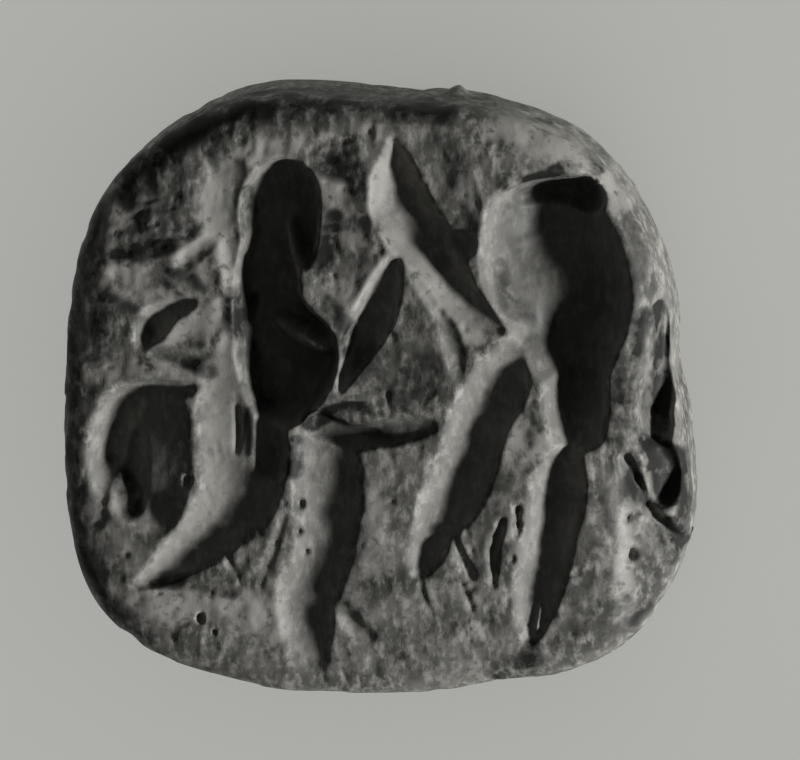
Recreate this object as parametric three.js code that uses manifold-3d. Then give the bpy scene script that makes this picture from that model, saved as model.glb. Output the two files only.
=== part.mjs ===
// A stone stamp seal: a cushion-shaped pebble with a string hole, and a long-legged animal sunk into its
// face.
// Millimetres, +Z up. The seal lies on its back with the carved face up, and the animal's head is at -X.
// The origin is the middle of the seal's outline, on the flat spot that it rests on.

import * as THREE from "three";
import { mergeVertices } from "three/addons/utils/BufferGeometryUtils.js";
import Module from "manifold-3d";

const wasm = await Module();
wasm.setup();

// The stone.
const HEIGHT = 8.0;
const GIRDLE_HEIGHT = 4.5; // where the stone is widest
const FACE_CROWN = 0.22; // how far the middle of the face stands above its rim
const FACE_SQUARENESS = 9.5; // a high power gives a nearly flat face with a quick turn at its rim
const SHOULDER_CHANGE = -3; // the turn is softer at +X and quicker at -X
const BACK_SQUARENESS = 2.4; // a low power gives a domed back
const FLAT_SPOT_SHARE = 0.34; // width of the flat spot on the back, as a share of the outline
const STONE_COLOR = 0x6b6a62;

// The outline seen from above: four worn sides and two blunted corners, each a bearing in degrees and a
// reach.
const OUTLINE_ROUNDING = 3.05;
const OUTLINE_SIDES = [
  { name: "right side", bearing: 4, reach: 8.65 },
  { name: "upper right corner", bearing: 46, reach: 22 },
  { name: "upper side", bearing: 88, reach: 8.7 },
  { name: "upper left corner", bearing: 152, reach: 15.3 },
  { name: "left side", bearing: 182.5, reach: 9.32 },
  { name: "lower side", bearing: 271, reach: 8.5 },
];

// Where wear has swelled or hollowed the outline: a bearing and a half width in degrees, and how far out.
const OUTLINE_DENTS = [
  { name: "right side, hollow", bearing: 7, half: 7, out: -0.17 },
  { name: "right side, lower swelling", bearing: 338, half: 9, out: 0.12 },
  { name: "upper right, swelling", bearing: 50, half: 10, out: 0.1 },
  { name: "upper side, hollow", bearing: 88, half: 9, out: -0.12 },
  { name: "upper left, swelling", bearing: 113, half: 10, out: 0.14 },
  { name: "upper left, flat", bearing: 131, half: 10, out: -0.08 },
  { name: "lower left corner, swelling", bearing: 216, half: 9, out: 0.12 },
  { name: "lower side, left hollow", bearing: 240, half: 8, out: -0.12 },
  { name: "lower side, right hollow", bearing: 294, half: 10, out: -0.27 },
];

// The string hole, drilled from both ends, so that it narrows to the middle.
const HOLE_HEIGHT = 3.1;
const HOLE_MIDDLE_RADIUS = 0.95;
const HOLE_MOUTH_RADIUS = 1.15;
const HOLE_HALF_LENGTH = 11;

// How finely round shapes are cut into flat facets.
const FACETS_AROUND = 72;
const BACK_RINGS = 8;
const FACE_RINGS = 12;
const OUTLINE_CHECKS = 720; // directions in which the outline's middle is looked for
const GOUGE_SIDES = 7;
const GOUGE_STEP = 0.9;
const HOLE_SIDES = 20;

// The middle of the carver's field, from which every cut is set out.
const FIELD = { x: 0.43, y: 0.58 };

// How square a cut's belly is, and how far its tool stands out above the face.
const BELLY_SQUARENESS = 2.6;
const TOOL_LIFT = 0.8;

// Each cut follows a line of [x, y, half width]. Its bite is its depth as a share of its half width.
const CUTS = [
  { name: "top of the haunch", bite: 2.2, line: [[4.1, 5.2, 0.62], [5.35, 5.2, 0.66]] },
  {
    name: "haunch",
    bite: 0.8,
    line: [[4.55, 4.3, 1.8], [4.65, 3.5, 2.1], [5.0, 2.2, 1.9], [5.2, 0.6, 1.05], [5.5, -1.0, 0.8]],
  },
  {
    name: "reaching hind leg",
    bite: 0.52,
    line: [[3.6, 0.9, 0.55], [3.1, 0.0, 0.9], [2.3, -2.0, 0.9], [1.9, -3.0, 0.92], [1.2, -4.7, 0.5]],
  },
  {
    name: "standing hind leg",
    bite: 0.75,
    line: [[5.1, -1.9, 0.45], [4.8, -3.1, 0.82], [4.5, -4.7, 0.78], [4.15, -6.3, 0.65], [4.0, -7.2, 0.25]],
  },
  {
    name: "neck and shoulder",
    bite: 0.9,
    line: [[-2.9, 5.5, 1.0], [-3.1, 4.2, 1.1], [-3.4, 2.8, 1.0], [-2.9, 1.1, 1.45], [-2.6, -0.5, 0.8]],
  },
  {
    name: "right limb of the peak",
    bite: 0.75,
    line: [[0.05, 6.5, 0.4], [0.35, 5.1, 0.84], [1.3, 3.8, 0.76], [2.0, 2.6, 0.6], [3.0, 1.8, 0.3]],
  },
  { name: "notch in the peak", bite: 1.1, line: [[1.5, 4.05, 0.45], [2.2, 4.0, 0.35]] },
  {
    name: "left limb of the peak",
    bite: 1.2,
    line: [[0.15, 3.5, 0.3], [-0.1, 2.7, 0.52], [-0.65, 1.3, 0.58], [-1.2, 0.3, 0.25]],
  },
  { name: "flank line", bite: 0.4, line: [[1.2, 2.5, 0.3], [1.7, 1.6, 0.35], [2.0, 0.5, 0.3]] },
  {
    name: "belly",
    bite: 1.8,
    line: [[-1.8, -1.45, 0.35], [-0.6, -1.5, 0.4], [0.4, -1.25, 0.32], [1.3, -1.1, 0.25]],
  },
  {
    name: "bent foreleg",
    bite: 0.4,
    line: [[-4.6, 0.2, 0.7], [-4.35, -1.1, 1.1], [-4.2, -2.7, 1.3], [-5.0, -4.3, 0.85], [-7.0, -5.9, 0.2]],
  },
  { name: "inside the bent foreleg", bite: 1.1, line: [[-3.4, -1.3, 0.5], [-3.4, -2.4, 0.6]] },
  {
    name: "straight foreleg",
    bite: 0.45,
    line: [[-2.1, -1.7, 0.6], [-1.75, -3.0, 1.05], [-1.95, -5.0, 0.87], [-2.3, -6.2, 0.9], [-2.3, -7.6, 0.5]],
  },
  { name: "hoof", bite: 0.5, line: [[-1.3, -6.4, 0.25], [-1.0, -6.9, 0.32], [-0.55, -7.3, 0.25]] },
  {
    name: "line beside the foreleg",
    bite: 0.6,
    line: [[-3.0, -4.0, 0.2], [-3.2, -4.7, 0.22], [-3.6, -5.8, 0.2]],
  },
  {
    name: "raised foreleg",
    bite: 0.95,
    line: [[-5.7, -0.2, 0.35], [-6.6, -0.35, 0.45], [-7.4, -0.9, 0.65], [-7.8, -2.2, 0.68],
      [-8.1, -3.8, 0.25]],
  },
  {
    name: "space inside the raised foreleg",
    bite: 0.45,
    line: [[-6.75, -1.3, 1.2], [-6.8, -2.4, 1.25], [-6.6, -3.7, 0.7]],
  },
  { name: "brow", bite: 0.5, line: [[-7.6, 2.85, 0.32], [-6.9, 2.55, 0.42], [-6.0, 2.1, 0.38]] },
  { name: "bowl of the cheek", bite: 0.55, line: [[-6.7, 1.4, 0.5], [-6.0, 1.65, 0.72], [-5.1, 1.65, 0.65]] },
  { name: "ear", bite: 0.4, line: [[-4.25, 1.5, 0.3], [-4.4, 0.4, 0.35]] },
  { name: "horn", bite: 0.5, line: [[-5.85, 3.3, 0.25], [-5.0, 4.0, 0.27]] },
  { name: "tail", bite: 2, line: [[7.6, 2.3, 0.2], [7.6, 1.0, 0.32], [7.5, -0.4, 0.52], [7.55, -1.7, 0.4]] },
  {
    name: "diagonal below the tail",
    bite: 1.8,
    line: [[6.75, -2.1, 0.22], [7.15, -3.1, 0.26], [7.6, -3.9, 0.28], [8.1, -4.6, 0.25]],
  },
  { name: "chip in the edge", bite: 1.6, line: [[7.95, -2.1, 0.35], [8.0, -3.1, 0.32]] },
  { name: "nick in the edge", bite: 3.5, line: [[8.0, -4.7, 0.2], [8.3, -4.75, 0.22]] },
  {
    name: "line beside the hind shank",
    bite: 0.9,
    line: [[3.35, -3.9, 0.15], [3.15, -4.7, 0.2], [3.2, -5.6, 0.15]],
  },
  { name: "wedge by the hind foot", bite: 0.8, line: [[2.1, -4.4, 0.15], [2.4, -5.3, 0.18]] },
];

// The outline's reach from its middle in one direction.
function reachAt(bearing) {
  let sum = 0;
  for (const side of OUTLINE_SIDES) {
    const facing = Math.cos(bearing - THREE.MathUtils.degToRad(side.bearing));
    sum += (Math.max(0, facing) / side.reach) ** OUTLINE_ROUNDING;
  }
  let reach = sum ** (-1 / OUTLINE_ROUNDING);
  for (const dent of OUTLINE_DENTS) {
    const off = Math.acos(Math.cos(bearing - THREE.MathUtils.degToRad(dent.bearing)));
    reach += dent.out * Math.exp(-((THREE.MathUtils.radToDeg(off) / dent.half) ** 2));
  }
  return reach;
}

// A point in the direction of a bearing, at a share of the way out to the outline.
function outlinePoint(bearing, share, height) {
  const reach = share * reachAt(bearing);
  return new THREE.Vector3(reach * Math.cos(bearing), reach * Math.sin(bearing), height);
}

// The middle of the outline's box.
function outlineMiddle() {
  const box = new THREE.Box3();
  for (let i = 0; i < OUTLINE_CHECKS; i++) {
    box.expandByPoint(outlinePoint((i / OUTLINE_CHECKS) * Math.PI * 2, 1, 0));
  }
  return box.getCenter(new THREE.Vector3());
}

// A quarter of a squared-off circle: the share of the way out and the share of the way up.
function quarter(angle, squareness) {
  return { out: Math.sin(angle) ** (2 / squareness), up: Math.cos(angle) ** (2 / squareness) };
}

// The height of the uncut face at a share of the way out to the girdle, in the direction of a bearing.
function faceHeight(share, bearing) {
  const inside = Math.min(share, 1);
  const squareness = FACE_SQUARENESS + SHOULDER_CHANGE * Math.cos(bearing);
  const shoulder = (1 - inside ** squareness) ** (1 / squareness);
  return GIRDLE_HEIGHT + (HEIGHT - FACE_CROWN - GIRDLE_HEIGHT) * shoulder + FACE_CROWN * (1 - inside ** 2);
}

// The rings of the stone, from the flat spot up over the girdle to the face: a share of the outline, and a
// height for each bearing.
function stoneRings() {
  const rings = [{ share: FLAT_SPOT_SHARE, heightAt: () => 0 }];
  for (let i = 1; i <= BACK_RINGS; i++) {
    const { out, up } = quarter((i / BACK_RINGS) * Math.PI * 0.5, BACK_SQUARENESS);
    const height = GIRDLE_HEIGHT * (1 - up);
    rings.push({ share: FLAT_SPOT_SHARE + (1 - FLAT_SPOT_SHARE) * out, heightAt: () => height });
  }
  for (let i = FACE_RINGS - 1; i > 0; i--) {
    const { out } = quarter((i / FACE_RINGS) * Math.PI * 0.5, FACE_SQUARENESS);
    rings.push({ share: out, heightAt: (bearing) => faceHeight(out, bearing) });
  }
  return rings;
}

// A closed mesh from rings of equal length, with a point at each end, as a solid.
function solidFromRings(firstPoint, rings, lastPoint) {
  const sides = rings[0].length;
  const points = [firstPoint, ...rings.flat(), lastPoint];
  const last = points.length - 1;
  const triangles = [];
  for (let i = 0; i < sides; i++) {
    const next = (i + 1) % sides;
    triangles.push(0, 1 + next, 1 + i);
    triangles.push(last, last - sides + i, last - sides + next);
    for (let ring = 0; ring < rings.length - 1; ring++) {
      const low = 1 + ring * sides;
      const high = low + sides;
      triangles.push(low + i, low + next, high + next);
      triangles.push(low + i, high + next, high + i);
    }
  }
  const geometry = new THREE.BufferGeometry().setFromPoints(points).setIndex(triangles);
  return solidFrom(geometry);
}

// A three.js geometry as a manifold-3d solid.
function solidFrom(geometry) {
  geometry.deleteAttribute("normal");
  geometry.deleteAttribute("uv");
  const merged = mergeVertices(geometry, 1e-5);
  const mesh = new wasm.Mesh({
    numProp: 3,
    vertProperties: merged.attributes.position.array,
    triVerts: new Uint32Array(merged.index.array),
  });
  return new wasm.Manifold(mesh);
}

// The uncut stone. Each flat facet touches the true outline at its middle.
function makeStone() {
  const outward = 1 / Math.cos(Math.PI / FACETS_AROUND);
  const rings = stoneRings().map(({ share, heightAt }) => {
    const ring = [];
    for (let i = 0; i < FACETS_AROUND; i++) {
      const bearing = (i / FACETS_AROUND) * Math.PI * 2;
      ring.push(outlinePoint(bearing, share * outward, heightAt(bearing)));
    }
    return ring;
  });
  return solidFromRings(new THREE.Vector3(0, 0, 0), rings, new THREE.Vector3(0, 0, HEIGHT));
}

// The tool that leaves one cut: a round-bellied body, swept along the cut and rounded at both ends.
function makeGouge({ bite, line }) {
  const curve = new THREE.CatmullRomCurve3(line.map(([x, y, half]) => new THREE.Vector3(x, y, half)));
  const steps = Math.max(2, Math.ceil(curve.getLength() / GOUGE_STEP));
  const stations = [];
  for (let i = 0; i <= steps; i++) {
    const at = curve.getPointAt(i / steps);
    const ahead = curve.getTangentAt(i / steps).setZ(0).normalize();
    stations.push({ x: at.x, y: at.y, half: at.z, ahead });
  }
  const start = stations[0];
  const end = stations[steps];
  const tips = [30, 60].map(THREE.MathUtils.degToRad);
  const capAt = ({ x, y, half, ahead }, angle, way) => ({
    x: x + way * half * Math.sin(angle) * ahead.x,
    y: y + way * half * Math.sin(angle) * ahead.y,
    half: half * Math.cos(angle),
    ahead,
  });
  const all = [
    ...tips.toReversed().map((angle) => capAt(start, angle, -1)),
    ...stations,
    ...tips.map((angle) => capAt(end, angle, 1)),
  ];
  const rings = all.map((station) => gougeRing(station, bite));
  const poleOf = (station, way) => {
    const tip = capAt(station, Math.PI / 2, way);
    return new THREE.Vector3(tip.x + FIELD.x, tip.y + FIELD.y, surfaceAt(tip.x + FIELD.x, tip.y + FIELD.y));
  };
  return solidFromRings(poleOf(start, -1), rings, poleOf(end, 1));
}

// One section of a gouge: a squared-off half round below the face, with straight sides above it.
function gougeRing({ x, y, half, ahead }, bite) {
  const round = (value) => Math.sign(value) * Math.abs(value) ** (2 / BELLY_SQUARENESS);
  const section = [];
  for (let i = 0; i <= GOUGE_SIDES; i++) {
    const turn = (i / GOUGE_SIDES - 0.5) * Math.PI;
    section.push({ aside: half * round(Math.sin(turn)), up: -half * bite * round(Math.cos(turn)) });
  }
  section.push({ aside: half, up: TOOL_LIFT }, { aside: -half, up: TOOL_LIFT });
  const face = surfaceAt(x + FIELD.x, y + FIELD.y);
  return section.map(({ aside, up }) => {
    const px = x + FIELD.x - aside * ahead.y;
    const py = y + FIELD.y + aside * ahead.x;
    return new THREE.Vector3(px, py, face + up);
  });
}

// The height of the uncut face above a point.
function surfaceAt(x, y) {
  const bearing = Math.atan2(y, x);
  return faceHeight(Math.hypot(x, y) / reachAt(bearing), bearing);
}

// The string hole's core.
function makeStringHole() {
  const profile = [
    new THREE.Vector2(0, -HOLE_HALF_LENGTH),
    new THREE.Vector2(HOLE_MOUTH_RADIUS, -HOLE_HALF_LENGTH),
    new THREE.Vector2(HOLE_MIDDLE_RADIUS, 0),
    new THREE.Vector2(HOLE_MOUTH_RADIUS, HOLE_HALF_LENGTH),
    new THREE.Vector2(0, HOLE_HALF_LENGTH),
  ];
  const core = new THREE.LatheGeometry(profile, HOLE_SIDES);
  core.rotateZ(-Math.PI / 2);
  core.translate(0, 0, HOLE_HEIGHT);
  return solidFrom(core);
}

// Cuts the animal and the string hole out of the stone, and sets the outline's middle over the origin.
function makeSeal() {
  let seal = makeStone();
  for (const cut of CUTS) {
    seal = seal.subtract(makeGouge(cut));
  }
  const { vertProperties, triVerts } = seal.subtract(makeStringHole()).getMesh();
  const geometry = new THREE.BufferGeometry();
  geometry.setAttribute("position", new THREE.BufferAttribute(vertProperties, 3));
  geometry.setIndex(new THREE.BufferAttribute(triVerts, 1));
  const middle = outlineMiddle();
  geometry.translate(-middle.x, -middle.y, 0);
  geometry.computeVertexNormals();
  return geometry;
}

const stone = new THREE.MeshStandardMaterial({ color: STONE_COLOR, roughness: 0.62, metalness: 0 });
const sealStone = new THREE.Mesh(makeSeal(), stone);
sealStone.name = "seal_stone";

const part = new THREE.Group();
part.add(sealStone);

export default part;
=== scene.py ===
# %% [markdown]
# # A stone stamp seal with an animal sunk into its face
#
# The real object is one small pebble of dark stone, ground to a cushion shape, bored through for a
# string, and engraved with gravers and drills. Pressed into clay, its sunken animal came out raised. It
# is worn, so every edge is a little soft, and the stone is mottled and finely streaked.
#
# The whole model is one closed mesh. It could be sculpted by hand, but here numpy works out a height
# for every point of the face, because each cut of the engraver can then be one short named line that is
# easy to correct.

import math

import bpy
import numpy as np
from mathutils import Matrix, Vector


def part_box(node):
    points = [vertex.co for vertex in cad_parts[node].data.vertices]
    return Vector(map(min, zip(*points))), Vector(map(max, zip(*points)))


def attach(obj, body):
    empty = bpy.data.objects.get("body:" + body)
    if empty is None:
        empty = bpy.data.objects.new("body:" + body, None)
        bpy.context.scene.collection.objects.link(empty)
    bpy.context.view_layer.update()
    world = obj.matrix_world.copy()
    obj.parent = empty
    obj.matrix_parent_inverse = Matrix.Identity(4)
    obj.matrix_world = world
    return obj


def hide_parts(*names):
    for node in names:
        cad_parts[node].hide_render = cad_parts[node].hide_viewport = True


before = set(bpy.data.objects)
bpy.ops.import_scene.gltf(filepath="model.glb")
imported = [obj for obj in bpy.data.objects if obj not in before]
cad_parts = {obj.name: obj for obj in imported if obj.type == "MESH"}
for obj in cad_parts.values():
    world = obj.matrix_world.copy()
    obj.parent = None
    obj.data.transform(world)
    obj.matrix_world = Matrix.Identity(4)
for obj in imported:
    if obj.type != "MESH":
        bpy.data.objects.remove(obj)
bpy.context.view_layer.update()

# %% [markdown]
# ## Sizes
#
# Blender works in metres, and a seal is measured in millimetres, so the arrays below hold millimetres
# and are turned into metres when the mesh is made. The stone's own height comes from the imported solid
# that it replaces.

# %% Sizes of the stone, in millimetres
MM = 0.001
NODE = "seal_stone"
node_low, node_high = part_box(NODE)
HEIGHT = (node_high.z - node_low.z) / MM
GIRDLE_HEIGHT = 4.5
FACE_CROWN = 0.22
FACE_SQUARENESS = 9.5  # the shoulder is rounder on the right and tighter on the left
SHOULDER_CHANGE = -3.0
BACK_SQUARENESS = 2.4
FLAT_SPOT_SHARE = 0.34
print(f"the stone is {HEIGHT:.2f} mm thick")

# %% [markdown]
# ## The outline
#
# Seen from above the pebble is a worn square with blunted corners. A circle or a plain rounded square
# would lose the way one side is longer than another. So each side has a bearing and a reach, and one
# formula rounds them into a single smooth curve.

# %% Outline formula
OUTLINE_ROUNDING = 3.05
OUTLINE_SIDES = {  # bearing in degrees, reach in mm
    "right": (4, 8.65),
    "upper right corner": (46, 22.0),
    "upper": (88, 8.7),
    "upper left corner": (152, 15.3),
    "left": (182.5, 9.32),
    "lower": (271, 8.5),
}
OUTLINE_DENTS = {  # bearing and half width in degrees, how far out in mm
    "right side, hollow": (7, 7, -0.17),
    "right side, lower swelling": (338, 9, 0.12),
    "upper right, swelling": (50, 10, 0.1),
    "upper side, hollow": (88, 9, -0.12),
    "upper left, swelling": (113, 10, 0.14),
    "upper left, flat": (131, 10, -0.08),
    "lower left corner, swelling": (216, 9, 0.12),
    "lower side, left hollow": (240, 8, -0.12),
    "lower side, right hollow": (294, 10, -0.27),
}


def reach_at(bearing):
    """How far the outline is from its middle, in the direction of a bearing in radians."""
    total = 0.0
    for side, reach in OUTLINE_SIDES.values():
        facing = np.maximum(0.0, np.cos(bearing - math.radians(side)))
        total = total + (facing / reach) ** OUTLINE_ROUNDING
    smooth = total ** (-1 / OUTLINE_ROUNDING)
    for place, half, out in OUTLINE_DENTS.values():
        off = np.degrees(np.arccos(np.cos(bearing - math.radians(place))))
        smooth = smooth + out * np.exp(-((off / half) ** 2))
    return smooth


OUTLINE_CHECKS = 720
all_round = np.linspace(0, 2 * math.pi, OUTLINE_CHECKS, endpoint=False)
rim_reach = reach_at(all_round)
rim = np.stack([rim_reach * np.cos(all_round), rim_reach * np.sin(all_round)], axis=1)
OUTLINE_MIDDLE = (rim.min(0) + rim.max(0)) / 2
print("outline", np.round(rim.max(0) - rim.min(0), 2), "mm, middle", np.round(OUTLINE_MIDDLE, 2))

# %% [markdown]
# ## The uncut stone
#
# The profile from the girdle, where the pebble is widest, up to the face is a squared-off quarter
# circle: nearly flat across the face, with a quick turn at the shoulder. The back is a softer dome with
# a small worn flat.


# %% Profile of the uncut stone
def face_height(share, bearing=0.0):
    """Height of the uncut face at a share of the way out to the girdle, in the direction of a bearing."""
    inside = np.minimum(share, 1.0)
    squareness = FACE_SQUARENESS + SHOULDER_CHANGE * np.cos(bearing)
    shoulder = (1 - inside**squareness) ** (1 / squareness)
    return GIRDLE_HEIGHT + (HEIGHT - FACE_CROWN - GIRDLE_HEIGHT) * shoulder + FACE_CROWN * (1 - inside**2)


def back_height(share):
    """Height of the back at a share of the way out to the girdle."""
    outside = np.clip((share - FLAT_SPOT_SHARE) / (1 - FLAT_SPOT_SHARE), 0.0, 1.0)
    return GIRDLE_HEIGHT * (1 - (1 - outside**BACK_SQUARENESS) ** (1 / BACK_SQUARENESS))


def share_at(x, y):
    """How far out a point is, from 0 in the middle to 1 on the girdle."""
    return np.hypot(x, y) / reach_at(np.arctan2(y, x))


for part in (0.0, 0.5, 0.9, 1.0):
    print(f"{part:.0%} of the way out: face {face_height(part):.2f} mm, back {back_height(part):.2f} mm")

# %% [markdown]
# ## The mesh of the face
#
# A grid is the simplest even mesh, but its square edge doesn't fit a rounded stone. Here each square
# ring of the grid is bent onto the outline: the middle stays a plain grid with even cells, so fine cuts
# are sharp everywhere, and the last rings run down the shoulder to the girdle, evenly spaced along the
# profile.

# %% Grid of points over the face and the shoulder
FACE_RINGS = 110
SHOULDER_RINGS = 28
RINGS = FACE_RINGS + SHOULDER_RINGS
FACE_SHARE = 0.88  # where the flat of the face ends and the shoulder begins
GRID_HALF = 8.3  # half the width that a plain square grid would have
PROFILE_STEPS = 4000
USUAL_REACH = 9.0  # about how far the outline is from its middle


def even_shares(start, end, height_of, count):
    """Shares of the way out that are evenly spaced along the profile between two shares."""
    turn = np.linspace(0.0, math.pi / 2, PROFILE_STEPS)
    share = start + (end - start) * np.sin(turn)
    steps = np.hypot(np.diff(share) * USUAL_REACH, np.diff(height_of(share)))
    along = np.concatenate([[0.0], np.cumsum(steps)])
    return np.interp(np.linspace(0, along[-1], count + 1), along, share)


flat_shares = np.linspace(0.0, FACE_SHARE, FACE_RINGS + 1)
ring_share = np.concatenate([flat_shares, even_shares(FACE_SHARE, 1.0, face_height, SHOULDER_RINGS)[1:]])
steps = np.arange(-RINGS, RINGS + 1)
column, row = np.meshgrid(steps, steps)
ring = np.maximum(abs(column), abs(row))
bearing = np.arctan2(row, column)
share = ring_share[ring]
squareness = np.hypot(column, row) / np.maximum(ring, 1)
plain = np.maximum(0.0, 1 - (share / FACE_SHARE) ** 2)
radius = share * (plain * GRID_HALF * squareness + (1 - plain) * reach_at(bearing))
X = radius * np.cos(bearing)
Y = radius * np.sin(bearing)
SHARE = share_at(X, Y)
print(f"{X.size} points on the face, {GRID_HALF * FACE_SHARE / FACE_RINGS:.3f} mm apart in the middle")

# %% [markdown]
# ## A graver's cut
#
# A graver or a small wheel leaves a furrow: round-bellied, deepest along its middle line and tapering
# out at its ends. A cut is given as a few points, each with half the furrow's width and its depth, and
# a smooth curve is drawn through them. Boolean cutters would do it too, but a height worked out at each
# point of the face is smooth, and costs nothing per cut.


# %% Helper: a smooth curve through a few points
LINE_PIECES = 6


def smooth_line(points):
    """The points of a smooth curve through a few given ones (Catmull-Rom)."""
    given = np.array(points, float)
    padded = np.vstack([2 * given[0] - given[1], given, 2 * given[-1] - given[-2]])
    made = []
    for before, start, end, after in zip(padded, padded[1:], padded[2:], padded[3:]):
        for t in np.arange(LINE_PIECES) / LINE_PIECES:
            bend = (2 * before - 5 * start + 4 * end - after) * t**2
            twist = (3 * start - before - 3 * end + after) * t**3
            made.append((2 * start + (end - before) * t + bend + twist) / 2)
    return np.array(made + [given[-1]])


print("three points make a curve of", len(smooth_line([(0, 0), (1, 0), (2, 1)])), "points")

# %% Helper: the depth of a furrow
LEAST_HALF = 0.05
ROUND_BELLY = 2.2
SOFT_BELLY = 2.0  # for what has no clear edge


def furrow(x, y, points, belly):
    """How deep each point lies in one furrow."""
    line = smooth_line(points)
    deepest = np.zeros_like(x)
    for (ax, ay, a_half, a_depth), (bx, by, b_half, b_depth) in zip(line, line[1:]):
        run_x, run_y = bx - ax, by - ay
        along = ((x - ax) * run_x + (y - ay) * run_y) / (run_x**2 + run_y**2)
        along = np.clip(along, 0.0, 1.0)
        half = np.maximum(a_half + along * (b_half - a_half), LEAST_HALF)
        depth = np.maximum(a_depth + along * (b_depth - a_depth), 0.0)
        away = np.hypot(x - ax - along * run_x, y - ay - along * run_y) / half
        deepest = np.maximum(deepest, depth * (1 - np.minimum(away, 1.0) ** belly))
    return deepest


trial = furrow(np.array([0.0, 0.5, 1.0]), np.zeros(3), [(0, -1, 1.0, 0.5), (0, 1, 1.0, 0.5)], ROUND_BELLY)
print("a trial furrow is", np.round(trial, 2), "mm deep at its middle, halfway out and at its edge")

# %% Helpers: hollows, cuts and ridges
MIDDLE = (0.43, 0.58)  # the middle of the carving, seen from the point that the outline formula turns about
HOLLOWS = np.zeros_like(X)
CUTS = np.zeros_like(X)
RIDGES = np.zeros_like(X)
face_x, face_y = X - MIDDLE[0], Y - MIDDLE[1]


def hollow(places):
    """Sinks the face itself, broadly and gently: hollows add up with everything else."""
    global HOLLOWS
    for points in places.values():
        HOLLOWS = HOLLOWS + furrow(face_x, face_y, points, SOFT_BELLY)
    print(f"{len(places)} hollows, {HOLLOWS.max():.2f} mm at the most")


def carve(cuts, belly=ROUND_BELLY):
    """Carves a group of furrows: where two cross, the deeper one shows."""
    global CUTS
    for points in cuts.values():
        CUTS = np.maximum(CUTS, furrow(face_x, face_y, points, belly))
    print(f"{len(cuts)} cuts, the deepest now {CUTS.max():.2f} mm")


def leave(places):
    """Leaves ridges of stone standing inside the cuts."""
    global RIDGES
    for points in places.values():
        RIDGES = np.maximum(RIDGES, furrow(face_x, face_y, points, SOFT_BELLY))
    print(f"{len(places)} ridges, {RIDGES.max():.2f} mm at the most")


print(f"{X.size} heights are ready to be cut")

# %% [markdown]
# ## The animal: its ground and its haunch
#
# The animal faces left on long legs, its back arched. Before the cuts, the face has a few broad, hardly
# visible hollows, where the stone was ground or worn lower. The haunch is the deepest cut: a round
# drill sank it, and a graver carried it down into the leg. Sculpting would give such a bulb too, but a
# short list of points that each have a width and a depth can be read like a drawing, and be changed one
# number at a time.

# %% Broad hollows in the face
hollow(
    {
        "between peak and haunch": [(1.0, 6.4, 1.2, 0.14), (1.6, 5.0, 1.1, 0.22), (1.9, 4.4, 0.7, 0.1)],
        "trunk": [(-1.5, 6.4, 0.8, 0.12), (-1.5, 4.9, 1.0, 0.2), (-1.3, 3.2, 1.1, 0.2)],
        "under the trunk": [(-0.2, 1.3, 1.3, 0.16), (0.4, 0.4, 1.3, 0.16)],
        "below the tail": [
            (7.2, -2.8, 0.6, 0.2), (7.25, -4.0, 0.75, 0.3), (7.1, -5.4, 0.7, 0.26),
            (6.9, -6.6, 0.4, 0.1),
        ],
        "spot by the edge": [(-7.4, 4.9, 0.7, 0.08), (-7.3, 4.5, 0.6, 0.08)],
    }
)

# %% Haunch
HAUNCH_BELLY = 2.3
carve(
    {
        "haunch, top": [(3.8, 5.15, 0.55, 1.5), (4.4, 5.28, 0.62, 1.9), (5.35, 5.25, 0.72, 1.8)],
        "haunch": [
            (4.4, 4.3, 1.75, 1.75), (4.65, 3.5, 2.05, 1.35), (5.0, 2.5, 1.92, 1.25),
            (5.05, 1.5, 1.55, 1.35),
        ],
        "haunch, lower end": [
            (5.05, 1.5, 1.55, 1.35), (5.3, 0.5, 0.95, 1.2), (5.3, -0.4, 0.95, 1.15),
            (5.35, -1.05, 0.85, 0.8),
        ],
    },
    belly=HAUNCH_BELLY,
)

# %% [markdown]
# ## The hind legs
#
# Two legs, one reaching forward and one standing, each cut as thigh, shank and foot in strokes that run
# into each other. They are shallower than the haunch and their bellies are round, as a graver leaves
# them.

# %% Hind legs
carve(
    {
        "reaching leg": [
            (3.85, 1.15, 0.4, 0.4), (3.5, 0.7, 0.7, 0.45), (3.1, 0.0, 0.9, 0.46),
            (2.6, -1.0, 0.92, 0.46),
        ],
        "reaching shank": [
            (2.6, -1.0, 0.92, 0.46), (2.3, -2.0, 0.88, 0.47), (1.9, -3.0, 0.92, 0.5),
            (1.38, -4.0, 0.7, 0.4),
        ],
        "reaching foot": [(1.38, -4.0, 0.7, 0.4), (1.0, -5.0, 0.45, 0.28), (0.85, -5.4, 0.25, 0.15)],
        "standing leg": [
            (5.1, -1.95, 0.4, 0.4), (4.9, -2.5, 0.7, 0.6), (4.8, -3.1, 0.82, 0.64),
            (4.62, -4.1, 0.76, 0.54),
        ],
        "standing shank": [
            (4.62, -4.1, 0.76, 0.54), (4.38, -5.1, 0.8, 0.46), (4.2, -6.0, 0.7, 0.4),
            (4.05, -6.8, 0.45, 0.26),
        ],
        "standing foot": [(4.05, -6.8, 0.45, 0.26), (4.0, -7.3, 0.2, 0.1)],
        "heel": [(3.85, -1.0, 0.4, 0.06), (3.65, -1.6, 0.45, 0.07), (3.5, -2.0, 0.3, 0.05)],
    }
)

# %% [markdown]
# ## The neck, the shoulder and the back
#
# Neck and shoulder are one deep, steep-walled trough, and the back rises to a peak with a limb down
# each side. A steep wall needs a squarer belly than a round one, so the cuts are made in three groups,
# from steep to round.

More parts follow.
